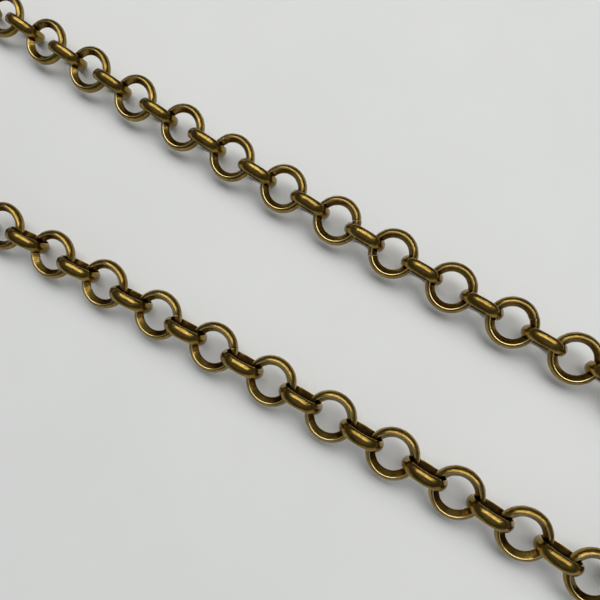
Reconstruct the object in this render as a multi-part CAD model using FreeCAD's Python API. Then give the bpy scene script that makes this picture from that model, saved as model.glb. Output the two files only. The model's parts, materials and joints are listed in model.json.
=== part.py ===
"""Pocket watch chain: round belcher links, a T-bar at one end and a swivel clasp at the other.

Millimetres, +Z up. The chain lies folded on a flat surface: an upper strand runs along +X from
the T-bar, a bend turns it back, and a lower strand runs along -X to the clasp. Links that lie
nearly flat alternate with links that stand on edge. The origin is under the middle of the whole.
"""

import FreeCAD, Part
import math
import os
from FreeCAD import Placement, Rotation, Vector

# Links: closed rings, domed outside and bevelled inside, with one crest round each face. The links that lie
# nearly flat are larger and deeper than the links that stand on edge and join them.
# (outer radius, bar depth, bar width, depth of the crests from the inside)
FLAT_LINK = (3.95, 1.52, 2.0, 0.81)
EDGE_LINK = (3.57, 0.72, 2.0, 0.2)
PITCH = 5.14

# Strands: y = offset + slope * x + bow * x * x at the links' centres.
UPPER_STRAND = (13.4, -0.031, 0.00028)
LOWER_STRAND = (-13.5, 0.021, -0.00021)
UPPER_START_X = -72.9
UPPER_FLATS = 13
LOWER_START_X = 55.05
LOWER_FLATS = 11

# Bend between the strands.
BEND_PITCH = 4.95
BEND_ENTRY = math.radians(-27)
BEND_EXIT = math.radians(27)

# Lean of the links about the run of the chain. A link leans less where the chain turns.
FLAT_LEAN = math.radians(22)
EDGE_LEAN = math.radians(14.5)
TURN_WITHOUT_LEAN = math.radians(60)

# Round-wire eyes of the two fittings.
EYE_RADIUS = 3.28
EYE_WIRE = 0.5
EYE_HEIGHT = EYE_RADIUS + EYE_WIRE

# T-bar.
BAR_HALF_LENGTH = 14.0
BAR_SHAFT = 1.3
BAR_BALL = 2.2
COLLAR_RADIUS = 1.8
COLLAR_HALF_LENGTH = 1.7
BEAD_WIRE = 0.45
BEAD_OFFSET = 2.8

# Clasp.
CLASP_DROP = 6.3
HOOK_WIRE = 1.1
HOOK_HALF_WIDTH = 4.4
NOSE_X = 19.5
MOUTH_X = 18.4
BARREL_RADIUS = 2.5
BARREL_START = 5.6
BRIDGE_START = 7.1
BRIDGE_END = 9.0
POST_RADIUS = 0.8
POST_HEAD_RADIUS = 1.5
RUNNING_CLEARANCE = 0.05
END_FLOAT = 0.1

# Gate of the clasp.
GATE_X = 11.0
GATE_HALF_THICKNESS = 0.7
GATE_SIDE_CLEARANCE = 0.08
GATE_BOSS = 1.0
EAR_HALF_HEIGHT = 1.7
EAR_WIDTH = 2.4
PIN_RADIUS = 0.5
SPRING_THICKNESS = 0.2
SPRING_HALF_WIDTH = 0.55

ORIGIN = Vector(0, 0, 0)
X = Vector(1, 0, 0)
Y = Vector(0, 1, 0)
Z = Vector(0, 0, 1)


def heading(angle):
    """The level direction at this angle from +X."""
    return Vector(math.cos(angle), math.sin(angle), 0)


def strand_point(x, strand):
    offset, slope, bow = strand
    return Vector(x, offset + slope * x + bow * x * x, 0)


def flat_places():
    """Plan positions of the links that lie nearly flat, in order from the T-bar to the clasp."""
    upper = [strand_point(UPPER_START_X + 2 * PITCH * i, UPPER_STRAND) for i in range(UPPER_FLATS)]
    lower = [strand_point(LOWER_START_X - 2 * PITCH * i, LOWER_STRAND) for i in range(LOWER_FLATS)]
    step = 2 * BEND_PITCH
    first = upper[-1] + heading(BEND_ENTRY) * step
    last = lower[0] + heading(BEND_EXIT) * step
    half = (last - first) * 0.5
    outward = Z.cross(half).normalize() * math.sqrt(step**2 - half.Length**2)
    return upper + [first, first + half + outward, last] + lower


def rim_height(lean):
    """Height of the centre of a link that stands on its domed rim, leaning by this angle."""
    radius, depth, width, crest_depth = EDGE_LINK
    dome = depth - crest_depth
    dome_radius = (dome**2 + (width / 2) ** 2) / (2 * dome)
    return (radius - dome_radius) * math.cos(lean) + dome_radius


def flat_frame(place, before, after):
    """Centre, run and axis of a link that lies nearly flat, its +Y side raised on both strands."""
    along = (before + after).normalize()
    straightness = max(1 - before.getAngle(after) / TURN_WITHOUT_LEAN, 0)
    lean = FLAT_LEAN * along.x * straightness
    axis = Z * math.cos(lean) - Z.cross(along) * math.sin(lean)
    return place + Z * rim_height(EDGE_LEAN * along.x), along, axis


def edge_frame(place, along):
    """Centre, run and axis of a link that stands on its rim."""
    lean = EDGE_LEAN * along.x
    axis = Z.cross(along) * math.cos(lean) + Z * math.sin(lean)
    return place + Z * rim_height(lean), along, axis


def link_frames():
    """Frames of all links, in order from the T-bar to the clasp."""
    flats = flat_places()
    runs = [(b - a).normalize() for a, b in zip(flats, flats[1:])]
    frames = []
    for place, next_place, before, after in zip(flats, flats[1:], runs[:1] + runs, runs):
        frames.append(flat_frame(place, before, after))
        frames.append(edge_frame((place + next_place) * 0.5, after))
    frames.append(flat_frame(flats[-1], runs[-1], runs[-1]))
    return frames


def placed(shape, centre, x_axis, z_axis):
    rotation = Rotation(x_axis, z_axis.cross(x_axis), z_axis, "ZXY")
    return shape.transformed(Placement(centre, rotation).toMatrix(), True)


def link(size):
    """A ring about Z: two bevels inside and a dome outside, meeting at the crests."""
    radius, depth, width, crest_depth = size
    low = Vector(radius - depth + crest_depth, 0, -width / 2)
    high = Vector(radius - depth + crest_depth, 0, width / 2)
    bevels = Part.makePolygon([low, X * (radius - depth), high]).Edges
    dome = Part.Arc(high, X * radius, low).toShape()
    return Part.Face(Part.Wire([*bevels, dome])).revolve(ORIGIN, Z, 360)


def rod(radius, start, direction, length):
    return Part.makeCylinder(radius, length, start, direction)


def block(low, high):
    size = high - low
    return Part.makeBox(size.x, size.y, size.z, low)


def eye_ring():
    """Round-wire ring in the XZ plane."""
    return Part.makeTorus(EYE_RADIUS, EYE_WIRE, ORIGIN, Y)


# The T-bar's own frame: the eye's centre at the origin, the chain towards +X, the bar along Y.


def bar_middle():
    """The bar rests on its balls and is brazed to the lower back of the eye."""
    drop = EYE_HEIGHT - BAR_BALL
    reach = EYE_RADIUS + COLLAR_RADIUS
    return Vector(-math.sqrt(reach**2 - drop**2), 0, -drop)


def t_bar_rod():
    """Bar with a collar in the middle, a bead each side of it and a ball at each end."""
    bar = rod(BAR_SHAFT, Y * -BAR_HALF_LENGTH, Y, 2 * BAR_HALF_LENGTH)
    bar = bar.fuse(rod(COLLAR_RADIUS, Y * -COLLAR_HALF_LENGTH, Y, 2 * COLLAR_HALF_LENGTH))
    for side in (-1, 1):
        bar = bar.fuse(Part.makeTorus(BAR_SHAFT, BEAD_WIRE, Y * side * BEAD_OFFSET, Y))
        bar = bar.fuse(Part.makeSphere(BAR_BALL, Y * side * BAR_HALF_LENGTH))
    bar.translate(bar_middle())
    return bar


def t_bar_eye():
    """Eye, hollowed where it is brazed to the collar."""
    collar = rod(COLLAR_RADIUS, bar_middle() - Y * COLLAR_HALF_LENGTH, Y, 2 * COLLAR_HALF_LENGTH)
    return eye_ring().cut(collar)


# The clasp's own frame: the eye's centre at the origin, the nose towards +X, the gate on -Y.


def swivel_eye():
    """Eye with a boss and a post, whose head is closed over behind the barrel."""
    boss_length = BARREL_START - END_FLOAT - EYE_RADIUS
    boss = Part.makeCone(EYE_WIRE, POST_HEAD_RADIUS, boss_length, X * EYE_RADIUS, X)
    head_start = BRIDGE_END + END_FLOAT
    post = rod(POST_RADIUS, X * EYE_RADIUS, X, head_start - EYE_RADIUS)
    head = Part.makeCone(POST_HEAD_RADIUS, POST_RADIUS, 0.8, X * head_start, X)
    return eye_ring().fuse([boss, post, head])


def hook_wire():
    """Round wire from the bridge on +Y, round the nose and back to the mouth on -Y."""
    root = Vector(BRIDGE_START + 1, HOOK_HALF_WIDTH, 0)
    start = Vector(NOSE_X, HOOK_HALF_WIDTH, 0)
    nose = Vector(NOSE_X + HOOK_HALF_WIDTH, 0, 0)
    end = Vector(NOSE_X, -HOOK_HALF_WIDTH, 0)
    mouth = Vector(MOUTH_X, -HOOK_HALF_WIDTH, 0)
    path = Part.Wire(
        [
            Part.LineSegment(root, start).toShape(),
            Part.Arc(start, nose, end).toShape(),
            Part.LineSegment(end, mouth).toShape(),
        ]
    )
    section = Part.Wire(Part.makeCircle(HOOK_WIRE, root, X))
    return path.makePipeShell([section], True, False)


def clasp_hook():
    """Barrel bored for the post, bridge, hook, and two ears that hold the gate."""
    barrel = rod(BARREL_RADIUS, X * BARREL_START, X, BRIDGE_END - BARREL_START)
    side = HOOK_HALF_WIDTH + HOOK_WIRE
    bridge = block(Vector(BRIDGE_START, -side, -HOOK_WIRE), Vector(BRIDGE_END, side, HOOK_WIRE))
    ear_inside = -side + EAR_WIDTH
    ears = block(
        Vector(BRIDGE_START, -side, -EAR_HALF_HEIGHT), Vector(GATE_X, ear_inside, EAR_HALF_HEIGHT)
    )
    ear_ends = rod(EAR_WIDTH / 2, gate_axis(-EAR_HALF_HEIGHT), Z, 2 * EAR_HALF_HEIGHT)
    slot_half = GATE_HALF_THICKNESS + GATE_SIDE_CLEARANCE
    slot = block(
        Vector(BRIDGE_END + END_FLOAT, -side - 1, -slot_half),
        Vector(MOUTH_X - 1, ear_inside + 1, slot_half),
    )
    bore = rod(POST_RADIUS + RUNNING_CLEARANCE, ORIGIN, X, BRIDGE_END + 1)
    body = barrel.fuse([bridge, ears, ear_ends, hook_wire()])
    return body.cut([slot, bore, gate_pin()])


def gate_axis(height):
    return Vector(GATE_X, -HOOK_HALF_WIDTH - HOOK_WIRE + EAR_WIDTH / 2, height)


def gate_pin():
    """Pin riveted through both ears."""
    return rod(PIN_RADIUS, gate_axis(-EAR_HALF_HEIGHT), Z, 2 * EAR_HALF_HEIGHT)


def gate_lever():
    """Lever from the pin to the mouth, with a tongue that closes against the inside of the hook."""
    hinge = gate_axis(-GATE_HALF_THICKNESS)
    thickness = Z * 2 * GATE_HALF_THICKNESS
    inner_wall = -HOOK_HALF_WIDTH + HOOK_WIRE
    stop = MOUTH_X - 0.3
    outline = [
        hinge - Y * GATE_BOSS,
        Vector(stop, -HOOK_HALF_WIDTH - 0.7, hinge.z),
        Vector(stop, inner_wall + 0.15, hinge.z),
        Vector(NOSE_X + 0.4, inner_wall + 0.15, hinge.z),
        Vector(NOSE_X + 0.4, inner_wall + 1.1, hinge.z),
        Vector(stop - 0.6, inner_wall + 1.3, hinge.z),
        hinge + Y * GATE_BOSS,
    ]
    lever = Part.Face(Part.makePolygon(outline + outline[:1])).extrude(thickness)
    boss = rod(GATE_BOSS, hinge, Z, thickness.z)
    thumb = rod(1.1, Vector(stop - 1.6, -HOOK_HALF_WIDTH - 0.6, hinge.z), Z, thickness.z)
    bore = rod(PIN_RADIUS + RUNNING_CLEARANCE, hinge - Z, Z, thickness.z + 2)
    return lever.fuse([boss, thumb]).cut(bore)


def gate_spring():
    """Leaf spring: a foot on the bridge's face and a blade that holds the gate shut."""
    low = Z * -SPRING_HALF_WIDTH
    foot_x = BRIDGE_END + SPRING_THICKNESS
    blade_y = gate_axis(0).y + GATE_BOSS + 0.45
    outline = [
        Vector(BRIDGE_END, blade_y - 0.2, 0) + low,
        Vector(foot_x, blade_y - 0.2, 0) + low,
        Vector(foot_x, blade_y, 0) + low,
        Vector(GATE_X + 3.6, blade_y + 0.5, 0) + low,
        Vector(GATE_X + 3.6, blade_y + 0.5 + SPRING_THICKNESS, 0) + low,
        Vector(BRIDGE_END, blade_y + SPRING_THICKNESS, 0) + low,
    ]
    return Part.Face(Part.makePolygon(outline + outline[:1])).extrude(low * -2)


def eye_places(frames):
    """Where the T-bar's eye and the clasp's eye stand, one pitch beyond the end links."""
    first, first_run, _ = frames[0]
    last, last_run, _ = frames[-1]
    start = Vector(first.x, first.y, EYE_HEIGHT) - first_run * PITCH
    end = Vector(last.x, last.y, EYE_HEIGHT) + last_run * PITCH
    drooping = Rotation(last_run.cross(Z), -CLASP_DROP).multVec(last_run)
    return (start, first_run), (end, drooping)


def assembly():
    """Every node by name, in layout coordinates."""
    frames = link_frames()
    nodes = {}
    for number, (centre, along, axis) in enumerate(frames, start=1):
        size = FLAT_LINK if number % 2 else EDGE_LINK
        nodes[f"link_{number:02d}"] = placed(link(size), centre, along, axis)
    (bar_eye, bar_run), (clasp_eye, clasp_run) = eye_places(frames)
    for maker in (t_bar_rod, t_bar_eye):
        nodes[maker.__name__] = placed(maker(), bar_eye, bar_run, Z)
    upright = clasp_run.cross(Z.cross(clasp_run)).normalize()
    for maker in (swivel_eye, clasp_hook, gate_lever, gate_pin, gate_spring):
        nodes[maker.__name__] = placed(maker(), clasp_eye, clasp_run, upright)
    return nodes


def shift_to_origin(nodes):
    """The move that puts the origin under the middle of the whole, at the resting surface."""
    box = FreeCAD.BoundBox()
    for shape in nodes.values():
        box.add(shape.optimalBoundingBox(False))
    return Vector(-box.Center.x, -box.Center.y, -box.ZMin)


def main():
    os.makedirs("parts", exist_ok=True)
    nodes = assembly()
    shift = shift_to_origin(nodes)
    for name, shape in nodes.items():
        shape.translate(shift)
        shape.exportStep(f"parts/{name}.step")


if __name__ == "__main__":
    main()
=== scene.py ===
import json
import math

import bmesh
import bpy
from mathutils import Matrix, Vector, noise

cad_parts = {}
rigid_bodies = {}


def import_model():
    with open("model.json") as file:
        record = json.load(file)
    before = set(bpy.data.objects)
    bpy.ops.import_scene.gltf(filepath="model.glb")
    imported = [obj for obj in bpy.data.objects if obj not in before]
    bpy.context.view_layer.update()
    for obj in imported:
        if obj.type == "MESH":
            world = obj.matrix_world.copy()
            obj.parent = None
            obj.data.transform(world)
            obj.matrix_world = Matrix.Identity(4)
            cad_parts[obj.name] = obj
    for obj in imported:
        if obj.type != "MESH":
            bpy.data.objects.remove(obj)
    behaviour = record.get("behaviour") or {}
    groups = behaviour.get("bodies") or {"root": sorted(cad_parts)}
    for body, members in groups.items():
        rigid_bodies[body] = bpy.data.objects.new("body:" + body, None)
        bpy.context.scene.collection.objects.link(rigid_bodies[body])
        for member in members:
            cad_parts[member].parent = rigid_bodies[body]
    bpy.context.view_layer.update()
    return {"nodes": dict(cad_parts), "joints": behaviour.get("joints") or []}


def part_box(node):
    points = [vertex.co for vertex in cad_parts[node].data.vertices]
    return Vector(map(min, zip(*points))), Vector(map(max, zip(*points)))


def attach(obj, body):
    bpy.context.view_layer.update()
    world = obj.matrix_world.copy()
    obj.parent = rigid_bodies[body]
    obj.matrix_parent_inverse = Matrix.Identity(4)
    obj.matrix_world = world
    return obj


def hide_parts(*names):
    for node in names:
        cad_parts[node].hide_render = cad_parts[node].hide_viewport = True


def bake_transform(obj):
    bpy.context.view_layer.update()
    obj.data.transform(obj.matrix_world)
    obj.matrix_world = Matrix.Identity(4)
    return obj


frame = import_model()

MM = 0.001

# Links, in millimetres about their own axis: outer radius, inner radius, crest radius and half
# width. A link lying flat is larger and deeper than a link standing on edge. Painted shade darkens
# the inside of the links, faintly on flat links and fully on the links on edge.
FLAT_LINK = (3.95, 2.43, 3.24, 1.0)
EDGE_LINK = (3.57, 2.85, 3.05, 1.0)
CREST_ROUND = 0.17
FLAT_PAINTED_SHADE = 0.05
EDGE_PAINTED_SHADE = 1.0
TURNS = 144
CUT_WIDTH = 0.06
CUT_STEP = 0.05
SPRING_SPANS = 16
EYE_REACH = 4.0
GRAIN_OFFSET = Vector((7.3, 3.1, 5.7))
UNEVENNESS = 0.018

# Camera, about a point between the two strands.
LOOK_AT = Vector((8.58, -6.78, 3.0)) * MM
AZIMUTH = math.radians(46.14)
ELEVATION = math.radians(75.66)
ROLL = math.radians(-14.88)
DISTANCE = 95.04 * MM
SENSOR = 36.0
FOCAL = 36.83

# A few links show where the ring was cut and closed: the link, and the angle of its cut from the
# run in radians.
CUTS = {11: 2.43, 15: 0.53, 17: 3.76, 21: 0.73, 45: 3.67, 47: 3.68, 51: 0.43}


def link_names():
    return sorted(name for name in frame["nodes"] if name.startswith("link_"))


def ring_axis(name):
    """The axis of a link, which is the axis of the joint it carries."""
    joint = next(j for j in frame["joints"] if j["parent"] == name)
    return Vector(joint["axis"]).normalized()


def middle(node):
    low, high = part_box(node)
    return (Vector(low) + Vector(high)) / 2


def link_places():
    """Name, centre and 4x4 placement of each link: local Z is its axis, local X the chain's run."""
    names = link_names()
    centres = [middle("t_bar_eye")] + [middle(name) for name in names] + [eye_centre()]
    places = []
    for i, name in enumerate(names):
        axis = ring_axis(name)
        if axis.z < 0:
            axis = -axis
        run = centres[i + 2] - centres[i]
        run = (run - axis * run.dot(axis)).normalized()
        turn = Matrix((run, axis.cross(run), axis)).transposed().to_4x4()
        places.append((name, Matrix.Translation(centres[i + 1]) @ turn))
    return places


def eye_centre():
    """Centre of the swivel's eye, at the end of that node away from the hook."""
    axis = next(j for j in frame["joints"] if j["name"] == "hook_spin")
    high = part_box("swivel_eye")[1]
    on_axis = Vector(axis["pos_m"])
    back = -Vector(axis["axis"]).normalized()
    reach = (high[0] - on_axis.x) / back.x - EYE_REACH * MM
    return on_axis + back * reach


# Ring mesh


def bend(start, corner, end, steps):
    """Points of a rounded corner, from start to end."""
    points = []
    for i in range(steps + 1):
        t = i / steps
        points.append(start * (1 - t) ** 2 + corner * 2 * t * (1 - t) + end * t**2)
    return points


def section(size):
    """(radius, height, wear and painted highlight, painted shade) round the bar: inner bevels,
    outer dome, round crests.
    """
    outer, inner, crest, half = size
    apex, corner = Vector((inner, 0)), Vector((crest, half))
    slope = (corner - apex).normalized()
    rise = outer - crest
    dome = (rise**2 + half**2) / (2 * rise)
    centre = Vector((outer - dome, 0))
    top = math.atan2(half, crest - centre.x) - CREST_ROUND / dome
    along_dome = [
        centre + Vector((math.cos(a), math.sin(a))) * dome for a in (top * i / 9 for i in range(10))
    ]
    low = apex + slope * 0.1
    nose = bend(Vector((low.x, -low.y)), apex, low, 4)[2:]
    crest_bend = bend(corner - slope * CREST_ROUND, corner, along_dome[-1], 6)
    bevel = [low.lerp(crest_bend[0], t) for t in (0.33, 0.67)]
    # Painted shade in full on the nose and inner bevels; across each crest, wear and a painted
    # highlight peak at the middle while the painted shade fades; the dome gets neither.
    upper = [(p, 0.0, 1.0) for p in nose + bevel]
    upper += [(p, 1.0 - abs(i - 3) / 3, 1.0 - i / 6) for i, p in enumerate(crest_bend)]
    upper += [(p, 0.0, 0.0) for p in reversed(along_dome[:-1])]
    lower = [(Vector((p.x, -p.y)), w, d) for p, w, d in reversed(upper[1:-1])]
    return [(p.x, p.y, w, d) for p, w, d in upper + lower]


def ring_mesh(name, size, painted_shade, seed, cut, placement):
    """A closed ring with a little unevenness; a cut leaves a slot whose ends don't quite meet."""
    outline = section(size)
    crest = size[2]
    mesh = bpy.data.meshes.new(name)
    bm = bmesh.new()
    # Per-vertex masks: wear with a painted highlight on the crests, and painted shade inside the
    # bar.
    wear_and_highlight = bm.verts.layers.float.new("wear_and_highlight")
    painted_recess_shade = bm.verts.layers.float.new("painted_recess_shade")
    spot = bm.verts.layers.float_vector.new("spot")
    offset = GRAIN_OFFSET * seed
    start = cut if cut is not None else 0.0
    gap = CUT_WIDTH / crest if cut is not None else 0.0
    columns = TURNS + 1 if cut is not None else TURNS
    span = (2 * math.pi - gap) / TURNS
    grid = []
    for i in range(columns):
        angle = start + gap / 2 + span * i
        c, s = math.cos(angle), math.sin(angle)
        shrink = 1 - UNEVENNESS * (0.5 + 0.5 * noise.noise(Vector((c, s, 0)) * 1.4 + offset))
        step = CUT_STEP * math.exp(-((span * i / 0.3) ** 2)) if cut is not None else 0.0
        column = []
        for r, h, w, d in outline:
            bump = UNEVENNESS * (noise.noise(Vector((r * c, r * s, h)) * 1.9 + offset) - 0.6)
            radius = crest + (r - crest) * shrink + bump - step
            place = Vector((radius * c, radius * s, h * shrink - step * 0.5))
            vert = bm.verts.new(place * MM)
            # Crest wear with a painted highlight, and painted shade inside scaled per link.
            vert[wear_and_highlight] = w
            vert[painted_recess_shade] = d * painted_shade
            vert[spot] = place + offset
            column.append(vert)
        grid.append(column)
    count = len(outline)
    for i in range(TURNS):
        one, two = grid[i], grid[(i + 1) % columns]
        for j in range(count):
            k = (j + 1) % count
            bm.faces.new((one[j], two[j], two[k], one[k]))
    if cut is not None:
        bm.faces.new(grid[0])
        bm.faces.new(grid[-1][::-1])
    bmesh.ops.recalc_face_normals(bm, faces=bm.faces)
    bm.to_mesh(mesh)
    bm.free()
    mesh.transform(placement)
    mesh.shade_smooth()
    return mesh


# Materials


def new_material(name):
    material = bpy.data.materials.new(name)
    material.use_nodes = True
    nodes = material.node_tree.nodes
    nodes.clear()
    output = nodes.new("ShaderNodeOutputMaterial")
    shader = nodes.new("ShaderNodeBsdfPrincipled")
    material.node_tree.links.new(shader.outputs[0], output.inputs[0])
    return material, nodes, material.node_tree.links, shader


def attribute(nodes, name):
    node = nodes.new("ShaderNodeAttribute")
    node.attribute_name = name
    return node


def noise_node(nodes, links, vector, scale, detail=4.0, rough=0.55):
    node = nodes.new("ShaderNodeTexNoise")
    node.inputs["Scale"].default_value = scale
    node.inputs["Detail"].default_value = detail
    node.inputs["Roughness"].default_value = rough
    links.new(vector, node.inputs["Vector"])
    return node.outputs["Fac"]


def ramp(nodes, links, value, stops):
    node = nodes.new("ShaderNodeValToRGB")
    points = node.color_ramp.elements
    while len(points) < len(stops):
        points.new(0.5)
    for point, (place, colour) in zip(points, stops):
        point.position = place
        point.color = colour if len(colour) == 4 else (*colour, 1)
    links.new(value, node.inputs[0])
    return node.outputs["Color"]


def grey(value):
    return (value, value, value)


def mixed(nodes, links, factor, a, b, mode="MIX"):
    node = nodes.new("ShaderNodeMix")
    node.data_type = "RGBA"
    node.blend_type = mode
    for socket, value in ((0, factor), (6, a), (7, b)):
        if isinstance(value, (int, float)):
            node.inputs[socket].default_value = value
        elif isinstance(value, tuple):
            node.inputs[socket].default_value = (*value, 1)
        else:
            links.new(value, node.inputs[socket])
    return node.outputs[2]


def maths(nodes, links, operation, a, b=0.0):
    node = nodes.new("ShaderNodeMath")
    node.operation = operation
    node.use_clamp = True
    for socket, value in enumerate((a, b)):
        if isinstance(value, (int, float)):
            node.inputs[socket].default_value = value
        else:
            links.new(value, node.inputs[socket])
    return node.outputs[0]


def brass_finish(nodes, links, shader, where, scale, wear_and_highlight, painted_recess_shade):
    """Olive-brown brass: clouded, stained and finely scuffed; paler on ridges with wear and a
    painted highlight, darker inside with painted shade.
    """
    cloud = noise_node(nodes, links, where, 0.5 * scale)
    stain = noise_node(nodes, links, where, 2.2 * scale, 5, 0.6)
    speck = noise_node(nodes, links, where, 11.0 * scale, 3, 0.6)
    base = ramp(
        nodes,
        links,
        cloud,
        [(0.3, (0.20, 0.125, 0.026)), (0.5, (0.275, 0.178, 0.040)), (0.72, (0.35, 0.24, 0.062))],
    )
    tarnish = ramp(nodes, links, stain, [(0.42, grey(0.0)), (0.68, grey(0.55))])
    colour = mixed(nodes, links, tarnish, base, (0.13, 0.08, 0.022))
    pits = ramp(nodes, links, speck, [(0.68, grey(0.0)), (0.75, grey(0.5))])
    colour = mixed(nodes, links, pits, colour, (0.07, 0.04, 0.012))
    # Painted shade: the inside of the bar darkened towards dark brown.
    if painted_recess_shade is not None:
        shade_depth = maths(nodes, links, "MULTIPLY", painted_recess_shade, 0.9)
        colour = mixed(nodes, links, shade_depth, colour, (0.055, 0.027, 0.007))
    # Wear with a painted highlight: the crests paled towards light gold.
    if wear_and_highlight is not None:
        edge = ramp(nodes, links, wear_and_highlight, [(0.15, grey(0.0)), (0.7, grey(0.9))])
        colour = mixed(nodes, links, edge, colour, (0.88, 0.70, 0.33))
    links.new(colour, shader.inputs["Base Color"])
    shader.inputs["Metallic"].default_value = 1.0
    rough = ramp(nodes, links, stain, [(0.35, grey(0.13)), (0.7, grey(0.27))])
    links.new(rough, shader.inputs["Roughness"])
    scuff = nodes.new("ShaderNodeTexNoise")
    scuff.inputs["Scale"].default_value = 3.0 * scale
    scuff.inputs["Detail"].default_value = 5.0
    scuff.inputs["Distortion"].default_value = 1.2
    links.new(where, scuff.inputs["Vector"])
    bump = nodes.new("ShaderNodeBump")
    bump.inputs["Strength"].default_value = 0.16
    bump.inputs["Distance"].default_value = 0.00003
    links.new(scuff.outputs["Fac"], bump.inputs["Height"])
    links.new(bump.outputs[0], shader.inputs["Normal"])


def aged_brass():
    """The links' brass, placed by each ring's own coordinates in millimetres."""
    material, nodes, links, shader = new_material("aged_brass")
    spot = attribute(nodes, "spot").outputs["Vector"]
    # Masks for crest wear with a painted highlight, and for painted shade inside.
    wear_and_highlight = attribute(nodes, "wear_and_highlight").outputs["Fac"]
    painted_recess_shade = attribute(nodes, "painted_recess_shade").outputs["Fac"]
    brass_finish(nodes, links, shader, spot, 1.0, wear_and_highlight, painted_recess_shade)
    return material


def fitting_brass():
    """The same brass on the turned and filed fittings, by place in the object's own space."""
    material, nodes, links, shader = new_material("fitting_brass")
    where = nodes.new("ShaderNodeTexCoord").outputs["Object"]
    brass_finish(nodes, links, shader, where, 1000.0, None, None)
    return material


def spring_steel():
    material, nodes, links, shader = new_material("spring_steel")
    where = nodes.new("ShaderNodeTexCoord").outputs["Object"]
    grain = noise_node(nodes, links, where, 4000.0)
    tone = ramp(nodes, links, grain, [(0.3, (0.10, 0.10, 0.12)), (0.7, (0.22, 0.21, 0.21))])
    links.new(tone, shader.inputs["Base Color"])
    shader.inputs["Metallic"].default_value = 1.0
    shader.inputs["Roughness"].default_value = 0.35
    return material


def paint(node, material):
    mesh = frame["nodes"][node].data
    mesh.materials.clear()
    mesh.materials.append(material)


# Stage


def make_floor():
    material, nodes, links, shader = new_material("table_top")
    where = nodes.new("ShaderNodeTexCoord").outputs["Object"]
    cloud = noise_node(nodes, links, where, 30.0)
    tone = ramp(nodes, links, cloud, [(0.3, (0.845, 0.86, 0.855)), (0.7, (0.875, 0.89, 0.885))])
    links.new(tone, shader.inputs["Base Color"])
    shader.inputs["Roughness"].default_value = 0.6
    shader.inputs["Specular IOR Level"].default_value = 0.25
    bpy.ops.mesh.primitive_plane_add(size=2.0)
    floor = bpy.context.object
    floor.name = "floor"
    floor.data.materials.append(material)


def add_light(name, azimuth, elevation, distance, size, power, colour=(1, 1, 1)):
    data = bpy.data.lights.new(name, "AREA")
    data.shape = "RECTANGLE"
    data.size, data.size_y = size
    data.energy = power
    data.color = colour
    lamp = bpy.data.objects.new(name, data)
    bpy.context.scene.collection.objects.link(lamp)
    a, e = math.radians(azimuth), math.radians(elevation)
    away = Vector((math.cos(a) * math.cos(e), math.sin(a) * math.cos(e), math.sin(e)))
    lamp.location = LOOK_AT + away * distance
    lamp.rotation_mode = "QUATERNION"
    lamp.rotation_quaternion = away.to_track_quat("Z", "Y")


def make_lights():
    """A thin bright strip and a wide soft key beyond the upper strand, and a dim ceiling."""
    world = bpy.data.worlds.new("studio")
    bpy.context.scene.world = world
    world.use_nodes = True
    background = world.node_tree.nodes["Background"]
    background.inputs[0].default_value = (0.9, 0.95, 1.0, 1)
    background.inputs[1].default_value = 0.12
    add_light("strip_low", 92, 50, 0.6, (1.5, 0.022), 0.7, (1.0, 0.96, 0.88))
    add_light("key", 88, 70, 0.9, (1.6, 0.45), 6.4, (1.0, 0.99, 0.97))
    add_light("ceiling", 60, 84, 1.0, (2.8, 2.4), 2.8, (0.96, 0.98, 1.0))


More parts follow.
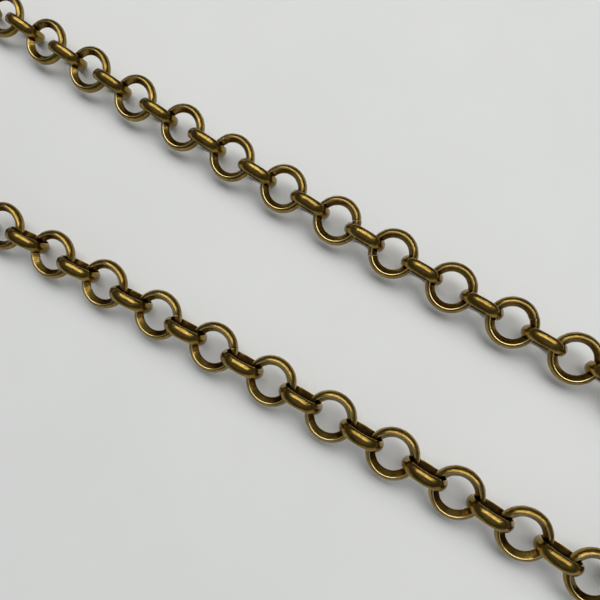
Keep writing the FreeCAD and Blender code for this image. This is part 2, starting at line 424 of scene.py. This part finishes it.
def make_camera():
    data = bpy.data.cameras.new("camera")
    data.sensor_width = SENSOR
    data.lens = FOCAL
    data.clip_start = 0.005
    camera = bpy.data.objects.new("camera", data)
    bpy.context.scene.collection.objects.link(camera)
    a, e = AZIMUTH, ELEVATION
    back = Vector((math.sin(a) * math.cos(e), -math.cos(a) * math.cos(e), math.sin(e)))
    level = Vector((math.cos(a), math.sin(a), 0))
    rise = back.cross(level)
    right = level * math.cos(ROLL) + rise * math.sin(ROLL)
    upward = back.cross(right)
    camera.matrix_world = Matrix.Translation(LOOK_AT + back * DISTANCE) @ Matrix(
        (right, upward, back)
    ).transposed().to_4x4()
    bpy.context.scene.camera = camera


def make_links(material):
    for number, (name, place) in enumerate(link_places(), start=1):
        # Painted shade inside: faint on flat links, full on links standing on edge.
        size, painted_shade = (FLAT_LINK, FLAT_PAINTED_SHADE) if number % 2 else (EDGE_LINK, EDGE_PAINTED_SHADE)
        mesh = ring_mesh(f"{name}_ring", size, painted_shade, number, CUTS.get(number), place)
        mesh.materials.append(material)
        ring = bpy.data.objects.new(f"{name}_ring", mesh)
        bpy.context.scene.collection.objects.link(ring)
        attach(ring, name)
        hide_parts(name)


def make_spring(steel):
    """The gate's leaf spring, sliced into even spans from its foot to its tip."""
    shape = bmesh.new()
    shape.from_mesh(frame["nodes"]["gate_spring"].data)
    hook = next(j for j in frame["joints"] if j["name"] == "hook_spin")
    run = Vector(hook["axis"]).normalized()
    ends = sorted((v.co.copy() for v in shape.verts), key=lambda p: p.dot(run))
    if (ends[0] - eye_centre()).length > (ends[-1] - eye_centre()).length:
        ends.reverse()
    foot, tip = ends[0], ends[-1]
    for i in range(1, SPRING_SPANS):
        every = shape.verts[:] + shape.edges[:] + shape.faces[:]
        place = foot.lerp(tip, i / SPRING_SPANS)
        bmesh.ops.bisect_plane(shape, geom=every, plane_co=place, plane_no=run, dist=1e-7)
    mesh = bpy.data.meshes.new("gate_spring_blade")
    shape.to_mesh(mesh)
    shape.free()
    mesh.materials.append(steel)
    blade = bpy.data.objects.new("gate_spring_blade", mesh)
    bpy.context.scene.collection.objects.link(blade)
    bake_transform(blade)
    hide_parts("gate_spring")


def main():
    bpy.context.scene.view_settings.view_transform = "Standard"
    brass = aged_brass()
    make_links(brass)
    fittings = fitting_brass()
    for node in ("t_bar_rod", "t_bar_eye", "swivel_eye", "clasp_hook", "gate_lever", "gate_pin"):
        paint(node, fittings)
    make_spring(spring_steel())
    make_floor()
    make_lights()
    make_camera()


main()
